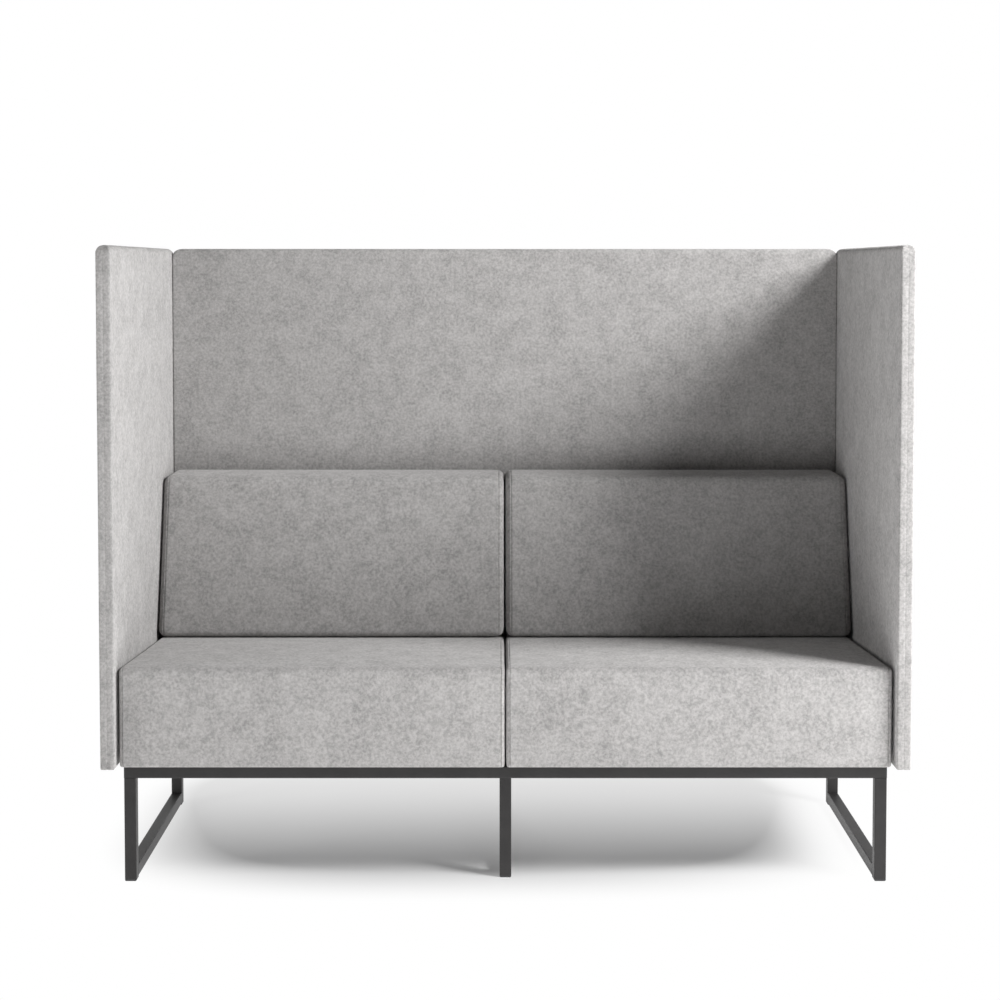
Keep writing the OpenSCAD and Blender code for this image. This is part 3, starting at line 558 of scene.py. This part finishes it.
@dataclass
class PaddedBlock:
    """A soft block along X whose section in Y and Z has four corners, with a cover sewn along planes."""

    name: str
    node: str
    low_x: float
    high_x: float
    # Corners of the section: front foot, rear foot, rear top, front top
    section: tuple[Vector, Vector, Vector, Vector]
    edge_radius: float
    side_radius: float
    base_radius: float
    # Which of the section's corners belong to the base, by their number
    base_corners: tuple[int, ...]
    cell: float = 0.016
    bevel_steps: int = 4
    margin: float = 0.003
    # The base runs along X and this axis, and is open inside the felt that is turned in round it
    base_way: Axis = Axis.Y
    turn_in: float = 0.016
    opening_depth: float = 0.004
    seam_inset: float = 0.008
    seam_width: float = 0.0028
    seam_depth: float = 0.0021
    crown: float = 0.008
    # How far the foam lets the cover draw in, and how much of its sliding is kept
    draw_limit: float = 0.0006
    slide_share: float = 0.5
    pressure: float = 3.0
    frames: int = 18
    side_limit: float = 0.0012
    smooth_angle: float = 50.0
    fill: float = 0.9
    # How much a seam's depth wavers, and how many waves it has in a metre
    pucker: float = 0.35
    puckers_per_metre: float = 60.0

    SEAM = "seam"
    PINS = "pins"
    # A stiff cover with much damping
    CLOTH = {"quality": 6, "mass": 0.4, "tension_stiffness": 30, "compression_stiffness": 30,
             "shear_stiffness": 12, "bending_stiffness": 8, "tension_damping": 15,
             "compression_damping": 15, "air_damping": 4, "pin_stiffness": 5, "use_pressure": True}

    def widest(self) -> float:
        """Returns the largest radius of the block's edges."""
        return self.edge_radius

    def radius(self, one: Vector, other: Vector) -> float:
        """Says how round an edge is: the base is tight, and the sewn sides are tighter than the rest.

        Args:
            one: One end of the edge.
            other: The other end.

        Returns:
            The radius.
        """
        base = [self.section[i] for i in self.base_corners]
        if all(any((Vector((0, end.y, end.z)) - corner).length < self.margin for corner in base)
               for end in (one, other)):
            return self.base_radius
        return self.edge_radius if abs(one.x - other.x) > self.margin else self.side_radius

    def block(self) -> bpy.types.Object:
        """Models the block with its slopes and its round edges.

        Returns:
            The block, with no swell yet.
        """
        front_foot, rear_foot, rear_top, front_top = self.section
        low = Vector((self.low_x, front_foot.y, front_foot.z))
        high = Vector((self.high_x, rear_foot.y, front_top.z))
        block = add_block(self.name, low, high)
        corners = {(0, 0): front_foot, (1, 0): rear_foot, (1, 1): rear_top, (0, 1): front_top}
        middle = (low + high) / 2
        with Bench(block) as bench:
            for (rear, top), corner in corners.items():
                bench.select(Part.VERTS, lambda v: (v.co.y > middle.y) == rear and (v.co.z > middle.z) == top)
                here = Vector((0, high.y if rear else low.y, high.z if top else low.z))
                bpy.ops.transform.translate(value=Vector((0, corner.y, corner.z)) - here)
            self.weigh_edges(bench)
        bevel = block.modifiers.new("Edges", "BEVEL")
        bevel.width = self.widest()
        bevel.segments = self.bevel_steps
        bevel.limit_method = "WEIGHT"
        bevel.offset_type = "OFFSET"
        bevel.use_clamp_overlap = False
        apply_modifiers(block)
        return block

    def weigh_edges(self, bench: Bench) -> None:
        """Writes the radius of each edge as the weight that the bevel reads.

        Args:
            bench: The block in edit mode.
        """
        mesh = bench.mesh()
        weight = mesh.edges.layers.float.get("bevel_weight_edge")
        if weight is None:
            weight = mesh.edges.layers.float.new("bevel_weight_edge")
        for edge in mesh.edges:
            edge[weight] = self.radius(*(v.co for v in edge.verts)) / self.widest()
        bmesh.update_edit_mesh(bench.obj.data)

    def planes(self) -> list[Plane]:
        """Works out the planes that cut the block into cells.

        Returns:
            The planes.
        """
        inset = self.side_radius + self.margin
        planes = self.row(Axis.X, self.low_x + inset, self.high_x - inset)
        front_foot, rear_foot, rear_top, front_top = self.section
        planes += self.fan(front_foot, front_top, rear_foot, rear_top)
        planes += self.fan(front_foot, rear_foot, front_top, rear_top)
        return planes

    def row(self, axis: Axis, start: float, stop: float) -> list[Plane]:
        """Works out a row of parallel planes, a cell apart.

        Args:
            axis: The direction across the planes.
            start: Where the first plane lies along it.
            stop: Where the last plane lies.

        Returns:
            The planes.
        """
        count = max(1, round((stop - start) / self.cell))
        return [(axis.value * (start + (stop - start) * i / count), axis.value) for i in range(count + 1)]

    def fan(self, start_a: Vector, start_b: Vector, end_a: Vector, end_b: Vector) -> list[Plane]:
        """Works out planes from one side of the section to the side across from it.

        Args:
            start_a: First corner of the first side.
            start_b: Second corner of the first side.
            end_a: The corner across from start_a.
            end_b: The corner across from start_b.

        Returns:
            The planes.
        """
        inset = self.edge_radius + self.margin
        rows = []
        for first, last in ((start_a, end_a), (start_b, end_b)):
            way = (last - first).normalized()
            rows.append((first + way * inset, last - way * inset))
        length = min((last - first).length for first, last in rows)
        count = max(1, round(length / self.cell))
        planes = []
        for i in range(count + 1):
            one, two = (first.lerp(last, i / count) for first, last in rows)
            planes.append((one, Axis.X.value.cross(two - one).normalized()))
        return planes

    def seams(self) -> list[Plane]:
        """Returns the plane of each seam."""
        return [(Vector((self.low_x + self.seam_inset, 0, 0)), Axis.X.value),
                (Vector((self.high_x - self.seam_inset, 0, 0)), Axis.X.value)]

    def opening(self) -> tuple[Vector, Vector, Vector]:
        """Says where the base is open.

        Returns:
            The opening's lowest and highest corner, and the way from it into the block.
        """
        start, stop = (self.section[i] for i in self.base_corners)
        across, way = Axis.X.value, self.base_way.value
        return (start + way * self.turn_in + across * (self.low_x + self.turn_in),
                stop - way * self.turn_in + across * (self.high_x - self.turn_in), across.cross(way))

    def lay_out(self, block: bpy.types.Object) -> None:
        """Cuts the block into cells, and lays its seams.

        Args:
            block: The block.
        """
        block.vertex_groups.new(name=self.SEAM)
        low, high, inwards = self.opening()
        with Bench(block) as bench:
            for point, normal in self.planes():
                bench.cut(point, normal)
            for axis in Axis:
                if not inwards.dot(axis.value):
                    bench.cut(low, axis.value)
                    bench.cut(high, axis.value)
            for point, normal in self.seams():
                for shift in (-self.seam_width / 2, self.seam_width / 2):
                    bench.cut(point + normal * shift, normal)
                bench.cut(point, normal, self.SEAM)
            bpy.ops.mesh.select_all(action="SELECT")
            bpy.ops.mesh.remove_doubles(threshold=MERGE_DISTANCE)
            bpy.ops.mesh.normals_make_consistent(inside=False)

    def rests(self, place: Vector, normal: Vector) -> bool:
        """Says whether a point lies on the foot, which is held flat."""
        return normal.z < -MOSTLY

    def simulate(self, block: bpy.types.Object) -> np.ndarray:
        """Blows the cover up with a cloth simulation, and holds its seams and its base.

        Args:
            block: The block, which keeps its shape.

        Returns:
            How far each vertex moves.
        """
        seam = block.vertex_groups[self.SEAM].index
        held = [v.index for v in block.data.vertices
                if self.rests(v.co, v.normal) or any(g.group == seam for g in v.groups)]
        block.vertex_groups.new(name=self.PINS).add(held, 1.0, "REPLACE")
        activate(block)
        cloth = block.modifiers.new("Cloth", "CLOTH")
        settings = cloth.settings
        for name, value in self.CLOTH.items():
            setattr(settings, name, value)
        settings.uniform_pressure_force = self.pressure
        settings.effector_weights.gravity = 0
        settings.vertex_group_mass = self.PINS
        cloth.collision_settings.use_collision = False
        cloth.point_cache.frame_start = 1
        cloth.point_cache.frame_end = self.frames
        scene = bpy.context.scene
        for number in range(1, self.frames + 1):
            scene.frame_set(number)
        seen = block.evaluated_get(bpy.context.evaluated_depsgraph_get())
        swollen = np.array([v.co for v in seen.data.vertices])
        block.modifiers.remove(cloth)
        scene.frame_set(1)
        return swollen - np.array([v.co for v in block.data.vertices])

    def swell(self, block: bpy.types.Object) -> None:
        """Moves the cover as its simulation says, scaled to the crown and held back by the foam.

        Args:
            block: The block, which takes the swollen shape.
        """
        moved = self.simulate(block)
        start = np.array([v.co for v in block.data.vertices])
        normals = np.array([v.normal for v in block.data.vertices])
        outwards = (moved * normals).sum(axis=1)
        LOG.info("%s swells by %.4f m before it is held back", self.name, outwards.max())
        share = self.crown / outwards.max()
        kept = np.maximum(outwards * share, -self.draw_limit)
        sliding = (moved - outwards[:, None] * normals) * share
        place = start + normals * kept[:, None] + sliding * self.slide_share
        place[:, 0] = np.clip(place[:, 0], self.low_x - self.side_limit, self.high_x + self.side_limit)
        block.data.vertices.foreach_set("co", place.ravel())
        block.data.update()

    def sew(self, block: bpy.types.Object) -> None:
        """Draws the seams in, with small puckers along them.

        Args:
            block: The swollen block.
        """
        seam = block.vertex_groups[self.SEAM].index
        block.data.update()
        moves = {}
        for v in block.data.vertices:
            if any(g.group == seam for g in v.groups) and not self.rests(v.co, v.normal):
                waver = 1 + self.pucker * noise.noise(v.co * self.puckers_per_metre)
                moves[v.index] = v.normal * -self.seam_depth * waver
        for index, move in moves.items():
            block.data.vertices[index].co += move
        block.data.update()

    def open_base(self, block: bpy.types.Object) -> None:
        """Sinks the base inside the felt that is turned in round it.

        Args:
            block: The swollen block.
        """
        low, high, inwards = self.opening()

        def is_open(face: bmesh.types.BMFace) -> bool:
            """Says whether a face lies in the opening."""
            middle = face.calc_center_median()
            return face.normal.dot(inwards) < -NEARLY and all(
                low[i] <= middle[i] <= high[i] for i in range(3) if not inwards[i])

        with Bench(block) as bench:
            bench.recess(is_open, inwards * self.opening_depth)

    def finish(self, block: bpy.types.Object) -> None:
        """Smooths the block with one subdivision, and shades it smooth up to an angle.

        Args:
            block: The sewn block.
        """
        block.modifiers.new("Smooth", "SUBSURF").levels = 1
        block.modifiers["Smooth"].render_levels = 1
        apply_modifiers(block)
        for group in list(block.vertex_groups):
            block.vertex_groups.remove(group)
        activate(block)
        bpy.ops.object.shade_smooth_by_angle(angle=math.radians(self.smooth_angle))

    def shape(self, block: bpy.types.Object) -> None:
        """Gives the block its soft form and its drawn-in seams.

        Args:
            block: The block, cut into cells.
        """
        self.swell(block)
        self.sew(block)

    def make(self, felt: bpy.types.Material) -> None:
        """Builds and dresses the piece.

        Args:
            felt: The material of its cover.
        """
        block = self.block()
        self.lay_out(block)
        self.shape(block)
        self.open_base(block)
        self.finish(block)
        dress(block, felt)
        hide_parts(self.node)
        LOG.info("%s: %d faces", self.name, len(block.data.polygons))


@dataclass
class SeatCushion(PaddedBlock):
    """A seat, which is flat underneath and where the back cushion stands on it."""

    edge_radius: float = 0.017
    side_radius: float = 0.009
    base_radius: float = 0.005
    base_corners: tuple[int, ...] = (0, 1)
    side_limit: float = 0.0015
    back_foot_y: float = 0.0

    def rests(self, place: Vector, normal: Vector) -> bool:
        """Says whether a point lies on the underside, or under the back cushion."""
        return super().rests(place, normal) or (normal.z > MOSTLY and place.y > self.back_foot_y)


@dataclass
class BackCushion(PaddedBlock):
    """A back cushion, whose base is its upright rear face and which stands on the seat."""

    edge_radius: float = 0.018
    side_radius: float = 0.0175
    base_radius: float = 0.005
    base_corners: tuple[int, ...] = (1, 2)
    base_way: Axis = Axis.Z
    seam_inset: float = 0.012
    opening_depth: float = 0.014

    def rests(self, place: Vector, normal: Vector) -> bool:
        """Says whether a point lies on the rear face or on the foot, which are held flat."""
        return super().rests(place, normal) or normal.y > MOSTLY


@dataclass
class Panel(PaddedBlock):
    """An upholstered board that stands upright, with one seam round its middle."""

    edge_radius: float = 0.014
    side_radius: float = 0.004
    base_radius: float = 0.003
    base_corners: tuple[int, ...] = ()
    cell: float = 0.034
    bevel_steps: int = 5
    margin: float = 0.0015
    opening_depth: float = 0.005
    seam_depth: float = 0.0008
    fill: float = 1.0
    thin_axis: Axis = Axis.X
    corner_radius: float = 0.022
    unevenness: float = 0.0004
    wave_length: float = 0.16
    slot_width: float = 0.012

    def rests(self, place: Vector, normal: Vector) -> bool:
        """Returns False, because a panel rests on nothing."""
        return False

    def middle(self) -> Vector:
        """Returns the middle of the panel."""
        front_foot, rear_foot, rear_top, _ = self.section
        return Vector(((self.low_x + self.high_x) / 2, (front_foot.y + rear_foot.y) / 2,
                       (rear_foot.z + rear_top.z) / 2))

    def widest(self) -> float:
        """Returns the largest radius of the panel's edges."""
        return self.corner_radius

    def radius(self, one: Vector, other: Vector) -> float:
        """Says how round an edge is: soft along the top, tight down the sides and along the foot.

        Args:
            one: One end of the edge.
            other: The other end.

        Returns:
            The radius.
        """
        way = other - one
        if abs(way.z) > self.margin:
            return self.side_radius
        if one.z < self.middle().z:
            return self.base_radius
        return self.corner_radius if abs(way.dot(self.thin_axis.value)) > self.margin else self.edge_radius

    def long_axis(self) -> tuple[Axis, float, float]:
        """Says how the panel lies.

        Returns:
            The direction of its width, and where it begins and ends.
        """
        if self.thin_axis is Axis.Y:
            return Axis.X, self.low_x, self.high_x
        return Axis.Y, self.section[0].y, self.section[1].y

    def planes(self) -> list[Plane]:
        """Works out the planes that cut the panel into cells.

        Returns:
            The planes.
        """
        axis, start, stop = self.long_axis()
        inset = self.side_radius + self.margin
        foot, top = self.section[0].z, self.section[3].z
        return (self.row(axis, start + inset, stop - inset)
                + self.row(Axis.Z, foot + self.base_radius + self.margin, top - self.corner_radius))

    def seams(self) -> list[Plane]:
        """Returns the plane of the seam, in the middle of the thickness."""
        return [(self.middle(), self.thin_axis.value)]

    def opening(self) -> tuple[Vector, Vector, Vector]:
        """Says where the slot along the underside lies, in which the board shows.

        Returns:
            The slot's lowest and highest corner, and the way up.
        """
        axis, start, stop = self.long_axis()
        half_slot = self.thin_axis.value * self.slot_width / 2
        middle = self.middle()
        across = middle - axis.value * middle.dot(axis.value)
        return (across - half_slot + axis.value * (start + self.turn_in),
                across + half_slot + axis.value * (stop - self.turn_in), Axis.Z.value)

    def shape(self, block: bpy.types.Object) -> None:
        """Lays the felt over its wadding, a little uneven, and draws the seam in.

        Args:
            block: The block, cut into cells.
        """
        for v in block.data.vertices:
            v.co += v.normal * self.unevenness * noise.noise(v.co / self.wave_length)
        self.sew(block)


@dataclass
class Upholstery:
    """The soft pieces: two seats, two back cushions and three panels."""

    felt: bpy.types.Material
    seat_thickness: float = 0.2127
    seat_slope: float = math.tan(math.radians(3.6))
    cushion_depth: float = 0.251
    cushion_height: float = 0.388
    cushion_slope: float = math.tan(math.radians(14.6))
    # How far each soft form starts inside the room that it swells into
    edge_draw: float = 0.0005
    # How far the outer side of a seat stands back from the panel beside it
    outer_draw: float = 0.003
    # The front edge of a back cushion's foot clears the seat
    foot_lift: float = 0.003
    # The felt of the back panel closes the joints at its ends
    joint_cover: float = 0.0026

    def seat(self, side: Side) -> None:
        """Builds one seat cushion.

        Args:
            side: The half of the sofa that it is for.
        """
        node = f"{side.value}_seat_cover"
        low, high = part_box(node)
        draw = self.edge_draw
        left_draw, right_draw = (self.outer_draw, 0.0) if side is Side.LEFT else (0.0, self.outer_draw)
        front, rear = low.y + draw, high.y - draw
        front_top = low.z + self.seat_thickness
        rear_top = front_top - (rear - front) * self.seat_slope
        SeatCushion(
            name=f"{side.value}_seat_cushion", node=node, low_x=low.x + left_draw,
            high_x=high.x - right_draw,
            section=section((front, low.z), (rear, low.z), (rear, rear_top), (front, front_top)),
            back_foot_y=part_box(f"{side.value}_back_cover")[1].y - self.cushion_depth).make(self.felt)

    def back(self, side: Side) -> None:
        """Builds one back cushion.

        Args:
            side: The half of the sofa that it is for.
        """
        node = f"{side.value}_back_cover"
        low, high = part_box(node)
        draw = self.edge_draw
        foot = high.z - self.cushion_height
        front = high.y - self.cushion_depth
        front_foot = foot + self.cushion_depth * self.seat_slope + self.foot_lift
        front_top = front + self.cushion_height * self.cushion_slope
        BackCushion(
            name=f"{side.value}_back_cushion", node=node, low_x=low.x + draw, high_x=high.x - draw,
            section=section((front, front_foot), (high.y, foot), (high.y, high.z),
                            (front_top, high.z))).make(self.felt)

    def panel(self, node: str, name: str, thin_axis: Axis, growth: float = 0.0) -> None:
        """Builds one upright panel.

        Args:
            node: The cover that it stands for.
            name: Its name.
            thin_axis: The direction of its thickness.
            growth: How far its felt stands out at each end.
        """
        low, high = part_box(node)
        Panel(
            name=name, node=node, low_x=low.x - growth, high_x=high.x + growth,
            section=section((low.y, low.z), (high.y, low.z), (high.y, high.z), (low.y, high.z)),
            thin_axis=thin_axis).make(self.felt)

    def build(self) -> None:
        """Builds the cushions of both halves and the three panels."""
        for side in Side:
            self.seat(side)
            self.back(side)
            self.panel(f"{side.value}_panel_cover", f"{side.value}_panel_felt", Axis.X)
        self.panel("back_panel_cover", "back_panel_felt", Axis.Y, self.joint_cover)


@dataclass(frozen=True)
class Lamp:
    """A square soft lamp: where it hangs, its width in metres and its power in watts."""

    name: str
    place: tuple[float, float, float]
    size: float
    power: float

    def hang(self, target: tuple[float, float, float]) -> None:
        """Hangs the lamp in the scene.

        Args:
            target: The point that it is turned to.
        """
        light = bpy.data.lights.new(self.name, "AREA")
        light.size = self.size
        light.energy = self.power
        lamp = bpy.data.objects.new(self.name, light)
        lamp.location = self.place
        lamp.rotation_euler = (Vector(target) - lamp.location).to_track_quat("-Z", "Y").to_euler()
        bpy.context.scene.collection.objects.link(lamp)


@dataclass
class Studio:
    """The camera, the lamps, the sky and the floor."""

    camera_place: tuple[float, float, float] = (-0.0115, -4.333, 1.2917)
    camera_pitch: float = 0.047
    focal_pixels: float = 1902.4
    centre_row: float = 360.0
    image_size: float = 1000.0
    sensor_mm: float = 36.0
    target: tuple[float, float, float] = (0.0, 0.0, 0.7)
    lamps: tuple[Lamp, ...] = (
        Lamp("key", (2.3, -1.3, 2.42), 0.95, 108.0),
        # Low at the right, for what faces forwards and the floor under the seats
        Lamp("low", (1.9, -1.5, 0.15), 1.4, 19.5),
        # At the left, where it reaches the right panel past the left one
        Lamp("side", (-3.2, -1.3, 1.1), 1.2, 26.0),
        # Weak, for the back
        Lamp("rear", (-0.5, 3.2, 1.3), 0.9, 16.0),
    )
    # Strength of the even light from all sides
    sky: float = 0.03
    floor_size: float = 40.0
    floor_grey: float = 0.8
    floor_roughness: float = 0.9
    floor_specular: float = 0.1
    # Light that the bright floor throws up, which the camera doesn't see as such
    floor_glow: float = 0.92
    # The shadow that the floor keeps: its middle, its reach along X and Y, how square it is, how it
    # ends, and the painted light that whitens it more towards the rear, in place of light from behind
    shadow_middle: tuple[float, float] = (-0.05, 0.1)
    shadow_reach: tuple[float, float] = (0.8, 0.55)
    shadow_squareness: float = 3.5
    shadow_core: float = 0.6
    shadow_end: float = 1.1
    painted_light_start: float = -0.55
    painted_light_end: float = 0.5
    painted_rear_light: float = 0.72

    def add_camera(self) -> None:
        """Adds the camera at the photograph's place and angle."""
        camera = bpy.data.cameras.new("camera")
        camera.sensor_width = self.sensor_mm
        camera.lens = self.focal_pixels / self.image_size * camera.sensor_width
        camera.shift_y = -(0.5 - self.centre_row / self.image_size)
        stand = bpy.data.objects.new("camera", camera)
        stand.location = self.camera_place
        stand.rotation_euler = (math.pi / 2 - self.camera_pitch, 0, 0)
        bpy.context.scene.collection.objects.link(stand)
        bpy.context.scene.camera = stand

    def add_sky(self) -> None:
        """Lights the scene evenly, and shows white to the camera and in reflections."""
        world = bpy.data.worlds.new("sky")
        world.use_nodes = True
        bpy.context.scene.world = world
        tree = Tree(world.node_tree)
        path = tree.add("LightPath")
        seen = tree.math("MAXIMUM", path.outputs["Is Camera Ray"], path.outputs["Is Glossy Ray"])
        seen = tree.math("MAXIMUM", seen, path.outputs["Is Transmission Ray"])
        strength = tree.ramp(seen, 0.0, 1.0, self.sky, 1.0)
        tree.feed_all(world.node_tree.nodes["Background"], {"Color": WHITE, "Strength": strength})

    def fade(self, tree: Tree) -> Socket:
        """Works out how far the floor is white: outside the shadow, and, as painted light, the more the
        nearer to the rear.

        Args:
            tree: The floor's node tree.

        Returns:
            The share of white, from 0 to 1.
        """
        here = tree.add("TexCoord").outputs["Object"]
        spread = [1 / reach for reach in self.shadow_reach]
        shift = [-middle * share for middle, share in zip(self.shadow_middle, spread)]
        place = tree.add("Mapping", {"Vector": here, "Scale": (*spread, 1.0), "Location": (*shift, 0.0)})
        flat_place = tree.add("SeparateXYZ", {"Vector": place.outputs[0]})
        powers = [tree.math("POWER", tree.math("ABSOLUTE", flat_place.outputs[i]), self.shadow_squareness)
                  for i in (0, 1)]
        away = tree.math("POWER", tree.math("ADD", *powers), 1 / self.shadow_squareness)
        depth = tree.add("SeparateXYZ", {"Vector": here}).outputs["Y"]
        # Painted light: the floor is mixed with white more towards the rear, in place of light from behind
        painted_light = tree.ramp(depth, self.painted_light_start, self.painted_light_end, 0.0, self.painted_rear_light)
        return tree.math("MAXIMUM", painted_light, tree.ramp(away, self.shadow_core, self.shadow_end))

    def add_floor(self) -> None:
        """Lays a pale floor that keeps the shadow of the sofa and fades to white."""
        deselect_all()
        bpy.ops.mesh.primitive_plane_add(size=self.floor_size)
        floor = bpy.context.active_object
        floor.name = "floor"
        material = bpy.data.materials.new("floor")
        material.use_nodes = True
        tree = Tree(material.node_tree)
        shader = material.node_tree.nodes["Principled BSDF"]
        seen = tree.add("LightPath").outputs["Is Camera Ray"]
        unseen = tree.math("SUBTRACT", 1.0, seen)
        tree.feed_all(shader, {
            "Base Color": (self.floor_grey,) * 3, "Roughness": self.floor_roughness,
            "Specular IOR Level": self.floor_specular, "Emission Color": WHITE,
            "Emission Strength": tree.math("MULTIPLY", unseen, self.floor_glow),
        })
        glow = tree.add("Emission", {"Color": WHITE, "Strength": 1.0})
        mixed = tree.add("MixShader", {
            0: tree.math("MULTIPLY", seen, self.fade(tree)), 1: shader.outputs[0], 2: glow.outputs[0]})
        tree.feed(material.node_tree.nodes["Material Output"].inputs["Surface"], mixed.outputs[0])
        floor.data.materials.append(material)

    def build(self) -> None:
        """Builds the studio."""
        bpy.context.scene.view_settings.view_transform = "Standard"
        self.add_camera()
        for lamp in self.lamps:
            lamp.hang(self.target)
        self.add_sky()
        self.add_floor()


def finish_cad_nodes(made: dict[str, bpy.types.Material]) -> None:
    """Gives every node of the construction its procedural material.

    Args:
        made: The materials by the names of their finishes.
    """
    thin = {"left_panel_board": Axis.X, "right_panel_board": Axis.X, "back_panel_board": Axis.Y,
            "left_back_board": Axis.Y, "right_back_board": Axis.Y}
    for row in frame["record"]["subparts"]:
        name, slot = row["node"], row["material_slot"]
        if slot == "plywood":
            slot += "_" + thin.get(name, Axis.Z).name.lower()
        materials = frame["nodes"][name].data.materials
        materials.clear()
        materials.append(made[slot])


def main() -> None:
    """Builds the studio, the finishes and the sofa's pieces in order."""
    logging.basicConfig(level=logging.INFO, format="%(name)s: %(message)s")
    Studio().build()
    MattedFibres().make()
    made = {finish.name: finish.make() for finish in FINISHES}
    finish_cad_nodes(made)
    Upholstery(made[FELT]).build()


if __name__ == "__main__":
    main()
